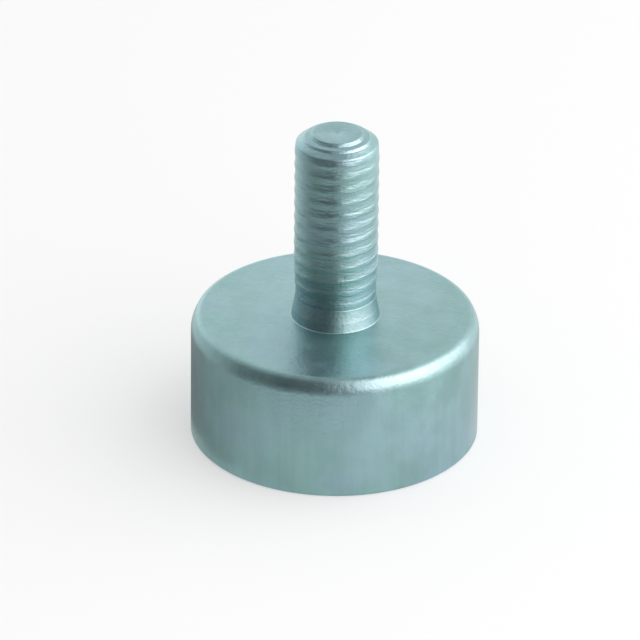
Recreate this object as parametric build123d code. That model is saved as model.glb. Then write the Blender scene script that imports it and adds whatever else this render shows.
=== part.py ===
from build123d import *

import os

# Pot magnet with a threaded stud, millimetres, +Z up.
# A steel pot holds a disc magnet, open at the bottom, and carries a male M3 stud on top.
# The origin is the centre of the flat rim that grips: the part stands on Z = 0 and the stud
# points along +Z. Everything is turned or pressed about the Z axis.

# --- driving dimensions -------------------------------------------------------------------

# steel pot
pot_diameter = 10.0
pot_height = 4.5
wall_thickness = 1.0  # side wall round the magnet
floor_thickness = 1.3  # steel between the magnet and the top face
pot_edge_width = 0.2  # slope pressed round the top face, before its two corners are rounded
pot_edge_height = 0.42
pot_edge_lower_radius = 0.85  # between the slope and the side wall
pot_edge_upper_radius = 0.28  # between the slope and the top face
rim_break = 0.08  # broken edge outside the gripping rim
mouth_break = 0.1  # broken edge at the mouth of the cavity
cavity_corner_radius = 0.2  # inside corner left by the boring tool

# stud, one piece with the pot
stud_length = 7.0  # from the top face to the tip
thread_diameter = 2.92  # crest diameter of the rolled M3 thread, tolerance 6g
waist_step = 0.09  # step from the crests down to the waist below the thread, all round
waist_radius = 0.6  # hollow of the waist, seen from the side
run_out_length = 0.5  # taper from the waist up to the full thread
flare_height = 0.56  # below the waist the stud widens over this height
flare_step = 0.12  # and by this much all round
collar_height = 0.36  # low collar at the foot of the stud
collar_ledge = 0.03  # its top stands out this far from the flare
collar_spread = 0.08  # it is this much wider all round at its bottom than at its top
collar_root_radius = 0.16  # where the collar meets the top face
tip_chamfer_width = 0.48
tip_chamfer_height = 0.44
tip_edge_radius = 0.25  # between the flat of the tip and its chamfer
tip_shoulder_radius = 0.4  # between the chamfer and the thread's crests
centre_mark_diameter = 0.24  # mark of the turning centre in the tip
centre_mark_depth = 0.04

# disc magnet and its potting
potting_gap = 0.5  # ring gap between the magnet and the wall
magnet_recess = 0.2  # the magnet's face lies this far inside the rim
magnet_edge_chamfer = 0.15
potting_drop = 0.05  # the resin ends this far below the magnet's chamfer
meniscus_sag = 0.1  # hollow of the cured surface

# --- places that follow from them ---------------------------------------------------------

pot_radius = pot_diameter / 2
cavity_radius = pot_radius - wall_thickness
cavity_depth = pot_height - floor_thickness
magnet_radius = cavity_radius - potting_gap
potting_level = magnet_recess + magnet_edge_chamfer + potting_drop

thread_radius = thread_diameter / 2
waist_half_width = thread_radius - waist_step
flare_radius = waist_half_width + flare_step
collar_radius = flare_radius + collar_ledge
collar_bottom_radius = collar_radius + collar_spread
tip_radius = thread_radius - tip_chamfer_width

collar_top = pot_height + collar_height
waist_level = collar_top + flare_height
thread_bottom = waist_level + run_out_length
stud_top = pot_height + stud_length
chamfer_bottom = stud_top - tip_chamfer_height

UPWARDS = (Align.CENTER, Align.CENTER, Align.MIN)  # a cylinder that starts at its own origin


def section(outline, *corners):
    """Half section inside a closed outline, radius across and height up, with rounded corners.

    Each corner is the radius and height of a point of the outline, and its rounding.
    """
    face = make_face(outline)
    for across, up, rounding in corners:
        face = fillet(face.vertices().sort_by_distance(Vertex(across, up, 0))[0], rounding)
    return face


def turned(half_section):
    """Solid of revolution of a half section about the Z axis."""
    return revolve(Plane.XZ * half_section, Axis.Z)


def ring_edge(solid, radius, height):
    """The circular edge of a turned solid that lies nearest to a radius and a height."""
    circles = solid.edges().filter_by(GeomType.CIRCLE)
    return circles.sort_by(lambda edge: abs(edge.radius - radius) + abs(edge.arc_center.Z - height))[0]


def magnet():
    """Sintered disc, seated on the cavity floor."""
    thickness = cavity_depth - magnet_recess
    disc = Pos(Z=magnet_recess) * Cylinder(magnet_radius, thickness, align=UPWARDS)
    return chamfer(disc.edges().filter_by(GeomType.CIRCLE), magnet_edge_chamfer)


def cavity():
    """Bored space for the magnet, open at the rim."""
    bore = Cylinder(cavity_radius, cavity_depth, align=UPWARDS)
    return fillet(ring_edge(bore, cavity_radius, cavity_depth), cavity_corner_radius)


def pot():
    """Steel cup, mouth down."""
    edge_bottom = (pot_radius, pot_height - pot_edge_height)
    edge_top = (pot_radius - pot_edge_width, pot_height)
    outline = Polyline((0, 0), (pot_radius, 0), edge_bottom, edge_top, (0, pot_height), close=True)
    half_section = section(
        outline,
        (*edge_bottom, pot_edge_lower_radius),
        (*edge_top, pot_edge_upper_radius),
    )
    cup = turned(half_section)
    cup = chamfer(ring_edge(cup, pot_radius, 0), rim_break)
    cup -= cavity()
    return chamfer(ring_edge(cup, cavity_radius, 0), mouth_break)


def stud():
    """Stud at the thread's crest diameter, with a waist, a flare and the collar below it."""
    waist = (waist_half_width, waist_level)
    thread_edge = (thread_radius, chamfer_bottom)
    tip_edge = (tip_radius, stud_top)
    outline = Polyline(
        (0, pot_height),
        (collar_bottom_radius, pot_height),
        (collar_radius, collar_top),
        (flare_radius, collar_top),
        waist,
        (thread_radius, thread_bottom),
        thread_edge,
        tip_edge,
        (centre_mark_diameter / 2, stud_top),
        (0, stud_top - centre_mark_depth),
        close=True,
    )
    half_section = section(
        outline,
        (*waist, waist_radius),
        (*thread_edge, tip_shoulder_radius),
        (*tip_edge, tip_edge_radius),
    )
    return turned(half_section)


def housing():
    """Pot and stud as the one steel piece that they are."""
    body = pot() + stud()
    return fillet(ring_edge(body, collar_bottom_radius, pot_height), collar_root_radius)


def potting():
    """Cured resin that fills the cavity round the magnet, with a hollow surface."""
    wall = (cavity_radius, potting_level)
    side = (magnet_radius, potting_level)
    middle = ((magnet_radius + cavity_radius) / 2, potting_level + meniscus_sag)
    fill = Polyline(wall, (cavity_radius, cavity_depth), (0, cavity_depth), (0, potting_level), side)
    fill += ThreePointArc(side, middle, wall)
    return (turned(section(fill)) & cavity()) - magnet()


os.makedirs("parts", exist_ok=True)
export_step(housing(), "parts/pot_housing.step")
export_step(magnet(), "parts/magnet_disc.step")
export_step(potting(), "parts/potting_ring.step")
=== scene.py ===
import math

import bmesh
import bpy
from mathutils import Matrix, Vector

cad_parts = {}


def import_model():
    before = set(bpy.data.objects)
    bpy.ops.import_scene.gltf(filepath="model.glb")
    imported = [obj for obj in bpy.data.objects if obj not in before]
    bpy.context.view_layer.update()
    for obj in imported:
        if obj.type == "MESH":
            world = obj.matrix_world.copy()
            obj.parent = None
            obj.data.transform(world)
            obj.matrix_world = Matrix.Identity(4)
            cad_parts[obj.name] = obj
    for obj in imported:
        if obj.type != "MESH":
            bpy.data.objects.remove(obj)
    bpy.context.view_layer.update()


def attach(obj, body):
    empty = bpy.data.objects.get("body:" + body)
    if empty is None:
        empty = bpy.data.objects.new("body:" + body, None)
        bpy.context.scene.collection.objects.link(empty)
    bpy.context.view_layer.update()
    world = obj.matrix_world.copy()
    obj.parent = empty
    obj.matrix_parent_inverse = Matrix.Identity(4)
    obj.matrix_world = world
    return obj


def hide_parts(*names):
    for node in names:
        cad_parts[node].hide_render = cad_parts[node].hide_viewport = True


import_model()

# A pot magnet: a zinc-plated steel pot with a threaded stud, and a magnet disc potted in its
# underside. Everything is in millimetres here and turned to metres once, as each mesh is made.
MM = 0.001

# --- sizes ----------------------------------------------------------------------------------
# A rounding has its radius and the number of steps that its arc is drawn in.

# pot, as in the solids
POT_RADIUS = 5.0
POT_HEIGHT = 4.5
POT_WALL = 1.0
POT_FLOOR = 1.3
POT_EDGE_WIDTH = 0.2  # slope round the top face, before both its corners are rounded
POT_EDGE_HEIGHT = 0.42
POT_EDGE_LOWER_ROUNDING = (0.85, 8)
POT_EDGE_UPPER_ROUNDING = (0.28, 12)
RIM_BREAK = 0.08
MOUTH_BREAK = 0.1
CAVITY_ROUNDING = (0.2, 6)

# magnet and its potting, as in the solids
POTTING_GAP = 0.5
MAGNET_RECESS = 0.2
MAGNET_EDGE = 0.15
POTTING_DROP = 0.05  # the resin ends this much deeper in than the magnet's broken edge
MENISCUS_SAG = 0.1
MENISCUS_STEPS = 10

# foot of the stud: a little slimmer than in the solids, with a sharper root and a shallower waist
COLLAR_BOTTOM_RADIUS = 1.54
COLLAR_ROOT_ROUNDING = (0.045, 6)
COLLAR_RADIUS = 1.48
COLLAR_HEIGHT = 0.36
COLLAR_EDGE_ROUNDING = (0.015, 4)
COLLAR_EDGE_SLOPE = 0.04  # height of the bevel up to the flare
FLARE_RADIUS = 1.466  # the flare starts inside the collar's edge
WAIST_RADIUS = 1.4
WAIST_ROUNDING = (0.6, 8)
WAIST_LEVEL = 5.3

# tip: the end of the blank, folded a little by the rolls
STUD_LENGTH = 7.0
TIP_CHAMFER_HEIGHT = 0.6
TIP_SHOULDER_ROUNDING = (0.1, 12)
# corners of the folds by radius, depth below the tip and rounding, outermost first
TIP_FOLDS = (
    (1.42, 0.36, 0.08),
    (1.19, 0.235, 0.03),
    (1.13, 0.145, 0.05),
    (0.945, 0.12, 0.03),
    (0.86, 0.0, 0.05),
)
FOLD_STEPS = 6
CENTRE_MARK_RADIUS = 0.12
CENTRE_MARK_DEPTH = 0.04

# M3 coarse thread, rolled, right-hand; the plating has rounded it off and half filled its roots
CREST_RADIUS = 1.46
PITCH = 0.5
THREAD_DEPTH = 0.0225
CREST_ROUNDING = 0.4
CREST_HEIGHT_AT_FRONT = 10.93  # a crest passes the side that faces -Y at this height
BLANK_RISE = (5.2, 6.8)  # the blank widens from the waist to its full radius between these heights
THREAD_FADE = (5.0, 5.75)  # the grooves deepen between these heights
THREAD_ROWS_PER_MM = 46
NICKS = ((10, 7.1), (10, 6.63))  # dents in the crests: bearing in degrees, 0 towards -Y, and height
NICK_WIDTH = 0.045
NICK_DEPTH = 0.014

# places that follow from them
CAVITY_RADIUS = POT_RADIUS - POT_WALL
CAVITY_DEPTH = POT_HEIGHT - POT_FLOOR
MAGNET_RADIUS = CAVITY_RADIUS - POTTING_GAP
POTTING_LEVEL = MAGNET_RECESS + MAGNET_EDGE + POTTING_DROP
COLLAR_TOP = POT_HEIGHT + COLLAR_HEIGHT
STUD_TOP = POT_HEIGHT + STUD_LENGTH

ROUND_STEPS = 144  # faces round the axis
WELD_DISTANCE = 1e-5  # points that lie closer than this become one


# --- mesh helpers ---------------------------------------------------------------------------

def arc(centre, radius, start, end, steps):
    """Points of an arc in the half section, angles in degrees from the outward direction."""
    angles = [math.radians(start + (end - start) * step / steps) for step in range(steps + 1)]
    return [(centre[0] + radius * math.cos(a), centre[1] + radius * math.sin(a)) for a in angles]


def rounded(corners):
    """Points of an outline; a corner that has a rounding after its radius and height becomes an arc."""
    points = []
    for index, (across, up, *rounding) in enumerate(corners):
        if not rounding:
            points.append((across, up))
            continue
        radius, steps = rounding
        here = Vector((across, up))
        back = (Vector(corners[index - 1][:2]) - here).normalized()
        ahead = (Vector(corners[index + 1][:2]) - here).normalized()
        half = back.angle(ahead) / 2
        centre = here + (back + ahead).normalized() * (radius / math.sin(half))
        first = here + back * (radius / math.tan(half)) - centre
        last = here + ahead * (radius / math.tan(half)) - centre
        turn = first.angle_signed(last)
        for step in range(steps + 1):
            spoke = first.copy()
            spoke.rotate(Matrix.Rotation(-turn * step / steps, 2))
            points.append(tuple(centre + spoke))
    return points


def turned(outline, closed):
    """Spin a half section, given as radius and height in millimetres, about the Z axis."""
    bm = bmesh.new()
    verts = [bm.verts.new((across, 0, up)) for across, up in outline]
    pairs = list(zip(verts, verts[1:]))
    if closed:
        pairs.append((verts[-1], verts[0]))
    edges = [bm.edges.new(pair) for pair in pairs]
    bmesh.ops.spin(
        bm, geom=verts + edges, cent=(0, 0, 0), axis=(0, 0, 1), dvec=(0, 0, 0),
        angle=math.tau, steps=ROUND_STEPS, use_merge=True,
    )
    bmesh.ops.remove_doubles(bm, verts=bm.verts[:], dist=WELD_DISTANCE)
    bmesh.ops.recalc_face_normals(bm, faces=bm.faces[:])
    return bm


def placed(bm, name, material):
    """Make a mesh an object of the scene with this material."""
    mesh = bpy.data.meshes.new(name)
    bm.to_mesh(mesh)
    bm.free()
    thing = bpy.data.objects.new(name, mesh)
    bpy.context.scene.collection.objects.link(thing)
    thing.data.materials.append(material)
    return thing


def finished(bm, name, node, material):
    """Make a mesh in millimetres a smooth piece that stands for a node of the frame."""
    bmesh.ops.scale(bm, vec=(MM, MM, MM), verts=bm.verts[:])
    for face in bm.faces:
        face.smooth = True
    piece = placed(bm, name, material)
    normals = piece.modifiers.new("flat faces stay flat", "WEIGHTED_NORMAL")
    normals.keep_sharp = True
    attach(piece, "root")
    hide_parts(node)


# --- thread ---------------------------------------------------------------------------------

def thread_depth(off_crest):
    """How far the thread lies below its crest, at an axial distance from it: two tangent arcs."""
    flank = 2 * math.atan(2 * THREAD_DEPTH / PITCH)
    both_radii = PITCH / 2 / math.sin(flank)
    crest_end = CREST_ROUNDING * math.sin(flank)
    if off_crest <= crest_end:
        return CREST_ROUNDING - math.sqrt(CREST_ROUNDING ** 2 - off_crest ** 2)
    root_rounding = both_radii - CREST_ROUNDING
    off_root = PITCH / 2 - off_crest
    return THREAD_DEPTH - root_rounding + math.sqrt(root_rounding ** 2 - off_root ** 2)


def eased(value, start, end):
    """0 before start, 1 after end, and a smooth rise between them."""
    share = min(max((value - start) / (end - start), 0), 1)
    return share * share * (3 - 2 * share)


def cut_thread(bm):
    """Press the taper, the thread's grooves and the dents into the plain shank of the stud."""
    for vert in bm.verts:
        height = vert.co.z
        if height < WAIST_LEVEL:
            continue
        turns = (math.atan2(vert.co.y, vert.co.x) + math.pi / 2) / math.tau
        phase = (height - CREST_HEIGHT_AT_FRONT) / PITCH - turns
        off_crest = abs(phase - round(phase)) * PITCH
        blank = WAIST_RADIUS + (CREST_RADIUS - WAIST_RADIUS) * eased(height, *BLANK_RISE)
        allowed = blank - thread_depth(off_crest) * eased(height, *THREAD_FADE)
        for bearing, level in NICKS:
            off_nick = math.hypot((turns - bearing / 360) * math.tau * CREST_RADIUS, height - level)
            allowed -= NICK_DEPTH * math.exp(-((off_nick / NICK_WIDTH) ** 2))
        across = math.hypot(vert.co.x, vert.co.y)
        if across > allowed:
            vert.co.x *= allowed / across
            vert.co.y *= allowed / across


# --- pieces ---------------------------------------------------------------------------------

def housing(material):
    """Pot and stud, one turned piece."""
    # the last corner of the pot and the first one of the tip only show where the shank goes on
    pot = rounded([
        (0, CAVITY_DEPTH),
        (CAVITY_RADIUS, CAVITY_DEPTH, *CAVITY_ROUNDING),
        (CAVITY_RADIUS, MOUTH_BREAK),
        (CAVITY_RADIUS + MOUTH_BREAK, 0),
        (POT_RADIUS - RIM_BREAK, 0),
        (POT_RADIUS, RIM_BREAK),
        (POT_RADIUS, POT_HEIGHT - POT_EDGE_HEIGHT, *POT_EDGE_LOWER_ROUNDING),
        (POT_RADIUS - POT_EDGE_WIDTH, POT_HEIGHT, *POT_EDGE_UPPER_ROUNDING),
        (COLLAR_BOTTOM_RADIUS, POT_HEIGHT, *COLLAR_ROOT_ROUNDING),
        (COLLAR_RADIUS, COLLAR_TOP - COLLAR_EDGE_SLOPE / 2, *COLLAR_EDGE_ROUNDING),
        (FLARE_RADIUS, COLLAR_TOP + COLLAR_EDGE_SLOPE / 2),
        (WAIST_RADIUS, WAIST_LEVEL, *WAIST_ROUNDING),
        (WAIST_RADIUS, STUD_TOP),
    ])[:-1]
    tip = rounded([
        (CREST_RADIUS, WAIST_LEVEL),
        (CREST_RADIUS, STUD_TOP - TIP_CHAMFER_HEIGHT, *TIP_SHOULDER_ROUNDING),
        *[(across, STUD_TOP - down, rounding, FOLD_STEPS) for across, down, rounding in TIP_FOLDS],
        (CENTRE_MARK_RADIUS, STUD_TOP),
        (0, STUD_TOP - CENTRE_MARK_DEPTH),
    ])[1:]
    # the shank between them, in rows that are close enough for the thread
    start, end = pot[-1][1], tip[0][1]
    rows = round((end - start) * THREAD_ROWS_PER_MM)
    shank = [(CREST_RADIUS, start + (end - start) * row / rows) for row in range(1, rows)]
    bm = turned(pot + shank + tip, closed=False)
    cut_thread(bm)
    finished(bm, "threaded_pot", "pot_housing", material)


def magnet(material):
    """Sintered disc with broken edges."""
    outline = [
        (0, MAGNET_RECESS),
        (MAGNET_RADIUS - MAGNET_EDGE, MAGNET_RECESS),
        (MAGNET_RADIUS, MAGNET_RECESS + MAGNET_EDGE),
        (MAGNET_RADIUS, CAVITY_DEPTH - MAGNET_EDGE),
        (MAGNET_RADIUS - MAGNET_EDGE, CAVITY_DEPTH),
        (0, CAVITY_DEPTH),
    ]
    bm = turned(outline, closed=False)
    finished(bm, "plated_magnet", "magnet_disc", material)


def potting(material):
    """Resin ring with a hollow free surface."""
    half_gap = (CAVITY_RADIUS - MAGNET_RADIUS) / 2
    middle = (CAVITY_RADIUS + MAGNET_RADIUS) / 2
    radius = (half_gap ** 2 + MENISCUS_SAG ** 2) / (2 * MENISCUS_SAG)
    half_angle = math.degrees(math.asin(half_gap / radius))
    centre = (middle, POTTING_LEVEL + MENISCUS_SAG - radius)
    meniscus = arc(centre, radius, 90 + half_angle, 90 - half_angle, MENISCUS_STEPS)
    outline = rounded([
        *meniscus,
        (CAVITY_RADIUS, CAVITY_DEPTH, *CAVITY_ROUNDING),
        (MAGNET_RADIUS - MAGNET_EDGE, CAVITY_DEPTH),
        (MAGNET_RADIUS, CAVITY_DEPTH - MAGNET_EDGE),
    ])
    bm = turned(outline, closed=True)
    finished(bm, "cured_potting", "potting_ring", material)


# --- materials ------------------------------------------------------------------------------

# sizes of the patterns along X, Y and Z; the grains and the dust are finer on the real surfaces, and
# are drawn as coarse as they need to show
FILM_PATCH = (3.0, 3.0, 2.4)
ZINC_CLOUD = (0.9, 0.9, 1.1)
DRAW_STREAK = (0.3, 0.3, 5.0)
ZINC_GRAIN = (0.12, 0.12, 0.12)
ROLLING_MARK = (0.5, 0.5, 0.09)
NICKEL_CLOUD = (1.4, 1.4, 1.4)
NICKEL_SCUFF = (0.08, 2.2, 0.5)
NICKEL_GRAIN = (0.1, 0.1, 0.1)
RESIN_CLOUD = (0.8, 0.8, 0.8)
RESIN_DUST = (0.05, 0.05, 0.05)
RESIN_WAVE = (0.5, 0.5, 0.5)

# depths of the bumps
ZINC_GRAIN_DEPTH = 0.01
ROLLING_MARK_DEPTH = 0.03
NICKEL_GRAIN_DEPTH = 0.002
NICKEL_SCUFF_DEPTH = 0.004
RESIN_WAVE_DEPTH = 0.02

ROLLING_MARKS_FROM = (5.3, 5.6)  # the marks set in between these heights
STREAK_SHARE = 0.5  # strength of the streaks beside the clouds

# most of a noise lies between these values
NOISE_LOW = 0.38
NOISE_HIGH = 0.62
NOISE_RANGE = {"From_Min": NOISE_LOW, "From_Max": NOISE_HIGH}


def linear(hex_colour):
    """An sRGB hex colour as linear values with full alpha."""
    parts = [int(hex_colour[i:i + 2], 16) / 255 for i in (1, 3, 5)]
    return (*[p / 12.92 if p <= 0.04045 else ((p + 0.055) / 1.055) ** 2.4 for p in parts], 1)


def add_node(tree, kind, settings=None, **links):
    """Add a shader node; links maps an input's name or _number to a value or another node's output."""
    node = tree.nodes.new(kind)
    for name, value in (settings or {}).items():
        setattr(node, name, value)
    for name, value in links.items():
        socket = node.inputs[int(name[1:])] if name[0] == "_" else node.inputs[name.replace("_", " ")]
        if isinstance(value, bpy.types.NodeSocket):
            tree.links.new(value, socket)
        else:
            socket.default_value = value
    return node


def new_material(name):
    """A material with an empty node tree."""
    material = bpy.data.materials.new(name)
    material.use_nodes = True
    material.node_tree.nodes.clear()
    return material, material.node_tree


def mottling(tree, sizes, detail):
    """A cloudy pattern between 0 and 1 whose features have these sizes in millimetres."""
    place = add_node(tree, "ShaderNodeTexCoord")
    spread = add_node(
        tree, "ShaderNodeVectorMath", {"operation": "DIVIDE"}, _0=place.outputs["Object"],
        _1=[size * MM for size in sizes],
    )
    cloud = add_node(tree, "ShaderNodeTexNoise", Vector=spread.outputs[0], Scale=1.0, Detail=detail)
    return cloud.outputs["Fac"]


def spread_colours(node, *colours):
    """Spread the stops of a colour ramp evenly over the range that a noise lies in."""
    stops = node.color_ramp.elements
    while len(stops) < len(colours):
        stops.new(0.5)
    for index, colour in enumerate(colours):
        stops[index].position = NOISE_LOW + (NOISE_HIGH - NOISE_LOW) * index / (len(colours) - 1)
        stops[index].color = linear(colour)


def zinc_plated_steel():
    """Turned steel, barrel tumbled, zinc plated and blue passivated: satin, cloudy, faintly streaked."""
    material, tree = new_material("blue passivated zinc")
    # the passivation's film: slightly green here and slightly blue there
    film = add_node(tree, "ShaderNodeValToRGB", Fac=mottling(tree, FILM_PATCH, detail=3.0))
    spread_colours(film, "#83a9a8", "#88acae", "#8badb4")
    # cloudy crystals of the zinc, and streaks that the draw marks of the steel leave along the wall
    clouds = mottling(tree, ZINC_CLOUD, detail=4.0)
    streaks = mottling(tree, DRAW_STREAK, detail=3.0)
    both = add_node(
        tree, "ShaderNodeMath", {"operation": "MULTIPLY_ADD"}, _0=streaks, _1=STREAK_SHARE, _2=clouds
    )
    # their sum lies mostly between 0.6 and 0.9, and makes the film a little darker or lighter
    brightness = add_node(
        tree, "ShaderNodeMapRange", Value=both.outputs[0], From_Min=0.6, From_Max=0.9, To_Min=0.94,
        To_Max=1.06,
    )
    tone = add_node(
        tree, "ShaderNodeHueSaturation", Color=film.outputs["Color"], Value=brightness.outputs["Result"]
    )
    # fine grain everywhere, and rolling marks on the stud alone
    place = add_node(tree, "ShaderNodeTexCoord")
    axes = add_node(tree, "ShaderNodeSeparateXYZ", Vector=place.outputs["Object"])
    on_stud = add_node(
        tree, "ShaderNodeMapRange", Value=axes.outputs["Z"], From_Min=ROLLING_MARKS_FROM[0] * MM,
        From_Max=ROLLING_MARKS_FROM[1] * MM, To_Min=0.0, To_Max=1.0,
    )
    grain = add_node(
        tree, "ShaderNodeBump", Strength=1.0, Distance=ZINC_GRAIN_DEPTH * MM,
        Height=mottling(tree, ZINC_GRAIN, detail=3.0),
    )
    marks = add_node(
        tree, "ShaderNodeBump", Strength=on_stud.outputs["Result"], Distance=ROLLING_MARK_DEPTH * MM,
        Height=mottling(tree, ROLLING_MARK, detail=4.0), Normal=grain.outputs["Normal"],
    )
    rough = add_node(tree, "ShaderNodeMapRange", Value=clouds, **NOISE_RANGE, To_Min=0.32, To_Max=0.4)
    shader = add_node(
        tree, "ShaderNodeBsdfPrincipled", Base_Color=tone.outputs["Color"], Metallic=1.0,
        Roughness=rough.outputs["Result"], Normal=marks.outputs["Normal"],
        Specular_Tint=linear("#dde7e8"), Coat_Weight=0.6, Coat_Roughness=0.3, Coat_IOR=1.45,
        Coat_Normal=marks.outputs["Normal"],
    )
    add_node(tree, "ShaderNodeOutputMaterial", Surface=shader.outputs["BSDF"])
    return material


def nickel_plated_magnet():
    """Sintered neodymium iron boron, barrel plated with bright nickel and scuffed by what it has held."""
    material, tree = new_material("scuffed nickel plating")
    clouds = mottling(tree, NICKEL_CLOUD, detail=3.0)
    scuffs = mottling(tree, NICKEL_SCUFF, detail=4.0)
    colour = add_node(tree, "ShaderNodeValToRGB", Fac=clouds)
    spread_colours(colour, "#bdb9ae", "#c9c5bb", "#cfccc4")
    grain = add_node(
        tree, "ShaderNodeBump", Strength=1.0, Distance=NICKEL_GRAIN_DEPTH * MM,
        Height=mottling(tree, NICKEL_GRAIN, detail=3.0),
    )
    worn = add_node(
        tree, "ShaderNodeBump", Strength=1.0, Distance=NICKEL_SCUFF_DEPTH * MM, Height=scuffs,
        Normal=grain.outputs["Normal"],
    )
    plating = add_node(tree, "ShaderNodeMapRange", Value=clouds, **NOISE_RANGE, To_Min=0.2, To_Max=0.26)
    wear = add_node(tree, "ShaderNodeMapRange", Value=scuffs, **NOISE_RANGE, To_Min=0.85, To_Max=1.3)
    rough = add_node(
        tree, "ShaderNodeMath", {"operation": "MULTIPLY"}, _0=wear.outputs["Result"],
        _1=plating.outputs["Result"],
    )
    shader = add_node(
        tree, "ShaderNodeBsdfPrincipled", Base_Color=colour.outputs["Color"], Metallic=1.0,
        Roughness=rough.outputs[0], Normal=worn.outputs["Normal"],
    )
    add_node(tree, "ShaderNodeOutputMaterial", Surface=shader.outputs["BSDF"])
    return material


def potting_resin():
    """Dark two-part epoxy, cast in place: glossy, a little uneven, and dulled here and there by dust."""
    material, tree = new_material("cast epoxy")
    clouds = mottling(tree, RESIN_CLOUD, detail=4.0)
    dust = mottling(tree, RESIN_DUST, detail=2.0)
    colour = add_node(tree, "ShaderNodeValToRGB", Fac=clouds)
    spread_colours(colour, "#18181a", "#1d1d20", "#26262a")
    skin = add_node(
        tree, "ShaderNodeBump", Strength=1.0, Distance=RESIN_WAVE_DEPTH * MM,
        Height=mottling(tree, RESIN_WAVE, detail=2.0),
    )
    clean = add_node(tree, "ShaderNodeMapRange", Value=clouds, **NOISE_RANGE, To_Min=0.22, To_Max=0.34)
    dulled = add_node(tree, "ShaderNodeMapRange", Value=dust, **NOISE_RANGE, To_Min=0.9, To_Max=1.5)
    rough = add_node(
        tree, "ShaderNodeMath", {"operation": "MULTIPLY"}, _0=dulled.outputs["Result"],
        _1=clean.outputs["Result"],
    )
    shader = add_node(
        tree, "ShaderNodeBsdfPrincipled", Base_Color=colour.outputs["Color"], Metallic=0.0,
        Roughness=rough.outputs[0], Normal=skin.outputs["Normal"],
    )
    add_node(tree, "ShaderNodeOutputMaterial", Surface=shader.outputs["BSDF"])
    return material


# --- stage ----------------------------------------------------------------------------------
# A bearing is 0 towards the camera and positive to its right, in degrees.

FLOOR_RADIUS = 900.0
FLOOR_WINDOW = 4.6  # open under the pot, where the rim hides it, so that the underside gets light
FLOOR_STEPS = 96
PAPER_GLOW = 0.4  # share of plain white in the paper as it is seen directly
ROOM_LIGHT = 0.75
LAMP_TARGET = Vector((0, 0, 5.0))

TENT_RADIUS = 120.0
TENT_FLOOR_LEVEL = 0.05
TENT_WARMTH = 1.35  # red of its brightest cloth, close to the lamps
TENT_WARM_RANGE = (1.4, 3.5)  # strengths over which the cloth turns from white to that
TENT_BEARINGS = (-180, -150, -110, -75, -45, -15, 6, 22, 45, 75, 110, 130, 150)

CAMERA_SENSOR = 36.0
CAMERA_LENS = 450.0
CAMERA_NEAR = 10.0
CAMERA_FAR = 10000.0
CAMERA_ELEVATION = 27.97
CAMERA_ROLL = 0.585
CAMERA_BACK_OFF = (-0.489, 3.737, 279.2)  # from the part's origin, in the camera's own axes


def on_floor(radius):
    """Radius and height of a ring of the tent that lies just above the floor."""
    return radius, TENT_FLOOR_LEVEL


def on_dome(elevation):
    """Radius and height of a ring of the tent's dome."""
    return TENT_RADIUS * math.cos(math.radians(elevation)), TENT_RADIUS * math.sin(math.radians(elevation))


def all_round(radiance):
    """The same radiance at every bearing."""
    return (radiance,) * len(TENT_BEARINGS)


# rings of the tent, out along the floor and then up the dome, each with its radiance at every bearing; the
# rings on the floor out to 12.5 mm are painted shadow and light of the paper round the part, dim to the
# left where its shadow falls and bright to the front and right where the lamps light it, for the metal to
# reflect
TENT_RINGS = (
    (on_floor(5.5), (0.3, 0.15, 0.26, 0.42, 0.66, 0.82, 0.84, 0.86, 0.9, 0.98, 0.9, 0.79, 0.68)),
    (on_floor(8.0), (0.4, 0.2, 0.32, 0.52, 0.78, 0.96, 0.98, 1.0, 0.98, 1.02, 0.92, 0.8, 0.68)),
    (on_floor(12.5), (0.5, 0.42, 0.5, 0.72, 0.95, 1.04, 1.02, 1.02, 1.02, 1.0, 0.85, 0.75, 0.65)),
    (on_floor(15.0), (1.2, 1.15, 0.86, 0.4, 0.32, 0.3, 0.32, 0.85, 1.15, 1.3, 1.3, 1.25, 1.2)),
    (on_floor(50.0), (1.2, 1.15, 0.8, 0.3, 0.2, 0.14, 0.14, 0.7, 1.3, 1.5, 1.4, 1.25, 1.2)),
    (on_floor(118.0), (1.2, 1.15, 0.8, 0.3, 0.2, 0.14, 0.14, 1.3, 1.9, 2.1, 1.9, 1.3, 1.2)),
    (on_dome(4), (1.6, 1.7, 0.75, 0.28, 0.14, 0.1, 0.12, 2.2, 3.3, 3.2, 2.6, 1.3, 1.1)),
    (on_dome(18), (1.4, 1.6, 0.78, 0.3, 0.14, 0.1, 0.15, 2.1, 3.4, 3.3, 2.6, 1.25, 1.1)),
    (on_dome(32), (0.93, 1.4, 0.85, 0.4, 0.2, 0.2, 0.3, 2.4, 3.6, 3.6, 2.9, 1.4, 1.3)),
    (on_dome(45), (0.93, 1.1, 0.75, 0.43, 0.3, 0.3, 0.35, 1.5, 2.3, 2.6, 2.4, 1.6, 1.4)),
    (on_dome(60), (1.0, 1.0, 0.7, 0.43, 0.3, 0.35, 0.4, 1.2, 1.9, 2.0, 1.8, 1.4, 1.25)),
    (on_dome(70), all_round(0.65)),
    (on_dome(78), all_round(0.45)),
    (on_dome(89.9), all_round(0.4)),
)


def seen_directly(tree):
    """1 for the rays that show the background: to the camera, in metal and through glass."""
    path = add_node(tree, "ShaderNodeLightPath")
    either = add_node(
        tree, "ShaderNodeMath", {"operation": "MAXIMUM"}, _0=path.outputs["Is Camera Ray"],
        _1=path.outputs["Is Glossy Ray"],
    )
    any_of_them = add_node(
        tree, "ShaderNodeMath", {"operation": "MAXIMUM"}, _0=either.outputs[0],
        _1=path.outputs["Is Transmission Ray"],
    )
    return any_of_them.outputs[0]


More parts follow.
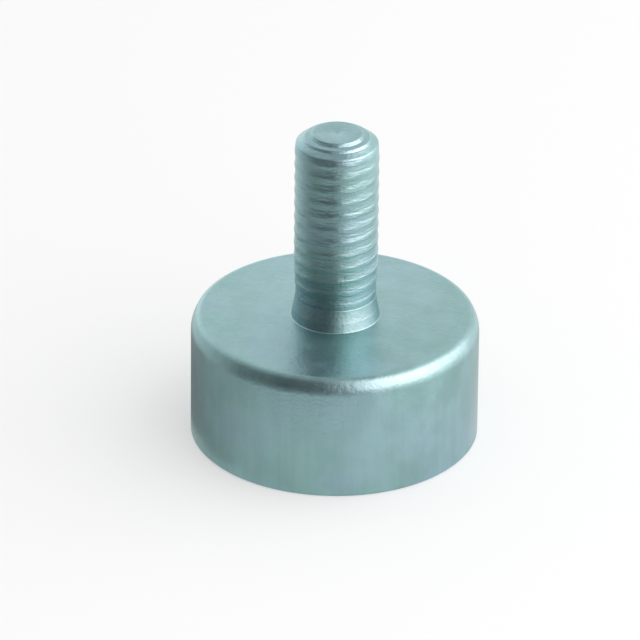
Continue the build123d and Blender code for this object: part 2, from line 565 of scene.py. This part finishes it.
def pale_paper():
    """Matt white paper, lifted a little towards plain white where it is seen; clear from below."""
    material, tree = new_material("pale paper")
    lit = add_node(tree, "ShaderNodeBsdfDiffuse", Color=linear("#f4f4f4"))
    white = add_node(tree, "ShaderNodeEmission", Color=linear("#ffffff"), Strength=1.0)
    share = add_node(
        tree, "ShaderNodeMath", {"operation": "MULTIPLY"}, _0=seen_directly(tree), _1=PAPER_GLOW
    )
    paper = add_node(
        tree, "ShaderNodeMixShader", _0=share.outputs[0], _1=lit.outputs[0], _2=white.outputs[0]
    )
    clear = add_node(tree, "ShaderNodeBsdfTransparent")
    side = add_node(tree, "ShaderNodeNewGeometry")
    both = add_node(
        tree, "ShaderNodeMixShader", _0=side.outputs["Backfacing"], _1=paper.outputs[0], _2=clear.outputs[0]
    )
    add_node(tree, "ShaderNodeOutputMaterial", Surface=both.outputs[0])
    return material


def floor():
    """Pale ground that the part stands on; it is seen from above only."""
    bm = bmesh.new()
    verts = [bm.verts.new((across * MM, 0, 0)) for across in (FLOOR_WINDOW, FLOOR_RADIUS)]
    edge = bm.edges.new(verts)
    bmesh.ops.spin(
        bm, geom=[*verts, edge], cent=(0, 0, 0), axis=(0, 0, 1), dvec=(0, 0, 0),
        angle=math.tau, steps=FLOOR_STEPS, use_merge=True,
    )
    bmesh.ops.recalc_face_normals(bm, faces=bm.faces[:])
    for face in bm.faces:
        if face.normal.z < 0:
            face.normal_flip()
    plane = placed(bm, "floor", pale_paper())


def world():
    """Even light of a white room, and plain white where it is seen directly."""
    sky = bpy.data.worlds.new("studio")
    bpy.context.scene.world = sky
    sky.use_nodes = True
    tree = sky.node_tree
    tree.nodes.clear()
    strength = add_node(
        tree, "ShaderNodeMapRange", Value=seen_directly(tree), To_Min=ROOM_LIGHT, To_Max=1.0
    )
    light = add_node(
        tree, "ShaderNodeBackground", Color=linear("#ffffff"), Strength=strength.outputs["Result"]
    )
    add_node(tree, "ShaderNodeOutputWorld", Surface=light.outputs[0])


def softbox(name, bearing, elevation, distance, width, height, radiance):
    """Area light that shines on the part; the camera and the metal don't see it."""
    light = bpy.data.lights.new(name, "AREA")
    light.shape = "RECTANGLE"
    light.size = width * MM
    light.size_y = height * MM
    light.energy = radiance * math.pi * light.size * light.size_y
    lamp = bpy.data.objects.new(name, light)
    bpy.context.scene.collection.objects.link(lamp)
    turn = math.radians(bearing)
    rise = math.radians(elevation)
    away = Vector((math.sin(turn) * math.cos(rise), -math.cos(turn) * math.cos(rise), math.sin(rise)))
    lamp.location = away * distance * MM
    lamp.rotation_mode = "QUATERNION"
    lamp.rotation_quaternion = (LAMP_TARGET * MM - lamp.location).to_track_quat("-Z", "Y")
    lamp.visible_camera = False
    lamp.visible_glossy = False


def lit_cloth():
    """Glowing cloth, as strong as the mesh says, and warmer where it is brightest."""
    material, tree = new_material("lit cloth")
    strength = add_node(tree, "ShaderNodeAttribute", {"attribute_name": "radiance"})
    red = add_node(
        tree, "ShaderNodeMapRange", Value=strength.outputs["Fac"], From_Min=TENT_WARM_RANGE[0],
        From_Max=TENT_WARM_RANGE[1], To_Min=1.0, To_Max=TENT_WARMTH,
    )
    tint = add_node(tree, "ShaderNodeCombineColor", Red=red.outputs["Result"], Green=1.0, Blue=1.0)
    glow = add_node(
        tree, "ShaderNodeEmission", Color=tint.outputs["Color"], Strength=strength.outputs["Fac"]
    )
    add_node(tree, "ShaderNodeOutputMaterial", Surface=glow.outputs[0])
    return material


def tent():
    """Light tent: the metal shows it instead of the lamps, and the camera and the floor don't see it."""
    bm = bmesh.new()
    strength = bm.verts.layers.float.new("radiance")
    rings = []
    for (across, up), radiances in TENT_RINGS:
        ring = []
        for bearing, radiance in zip(TENT_BEARINGS, radiances):
            turn = math.radians(bearing)
            place = (across * MM * math.sin(turn), -across * MM * math.cos(turn), up * MM)
            vert = bm.verts.new(place)
            vert[strength] = radiance
            ring.append(vert)
        rings.append(ring)
    for inner, outer in zip(rings, rings[1:]):
        for index in range(len(inner)):
            bm.faces.new((inner[index - 1], inner[index], outer[index], outer[index - 1]))
    cloth = placed(bm, "tent", lit_cloth())
    cloth.visible_camera = False
    cloth.visible_shadow = False
    cloth.visible_diffuse = False


def camera():
    """Long lens, looking down on the part, with a slight roll."""
    data = bpy.data.cameras.new("camera")
    data.sensor_width = CAMERA_SENSOR
    data.lens = CAMERA_LENS
    data.clip_start = CAMERA_NEAR * MM
    data.clip_end = CAMERA_FAR * MM
    eye = bpy.data.objects.new("camera", data)
    bpy.context.scene.collection.objects.link(eye)
    tilt = Matrix.Rotation(math.radians(90 - CAMERA_ELEVATION), 4, "X")
    roll = Matrix.Rotation(math.radians(CAMERA_ROLL), 4, "Z")
    eye.matrix_world = tilt @ roll @ Matrix.Translation([value * MM for value in CAMERA_BACK_OFF])
    bpy.context.scene.camera = eye


housing(zinc_plated_steel())
magnet(nickel_plated_magnet())
potting(potting_resin())
floor()
world()
softbox("right softbox", bearing=75, elevation=37, distance=150, width=400, height=208, radiance=0.75)
softbox("right low softbox", bearing=68, elevation=20, distance=140, width=330, height=100, radiance=0.8)
softbox("rear softbox", bearing=140, elevation=32, distance=150, width=220, height=150, radiance=0.15)
tent()
camera()

scene = bpy.context.scene
scene.view_settings.view_transform = "Standard"
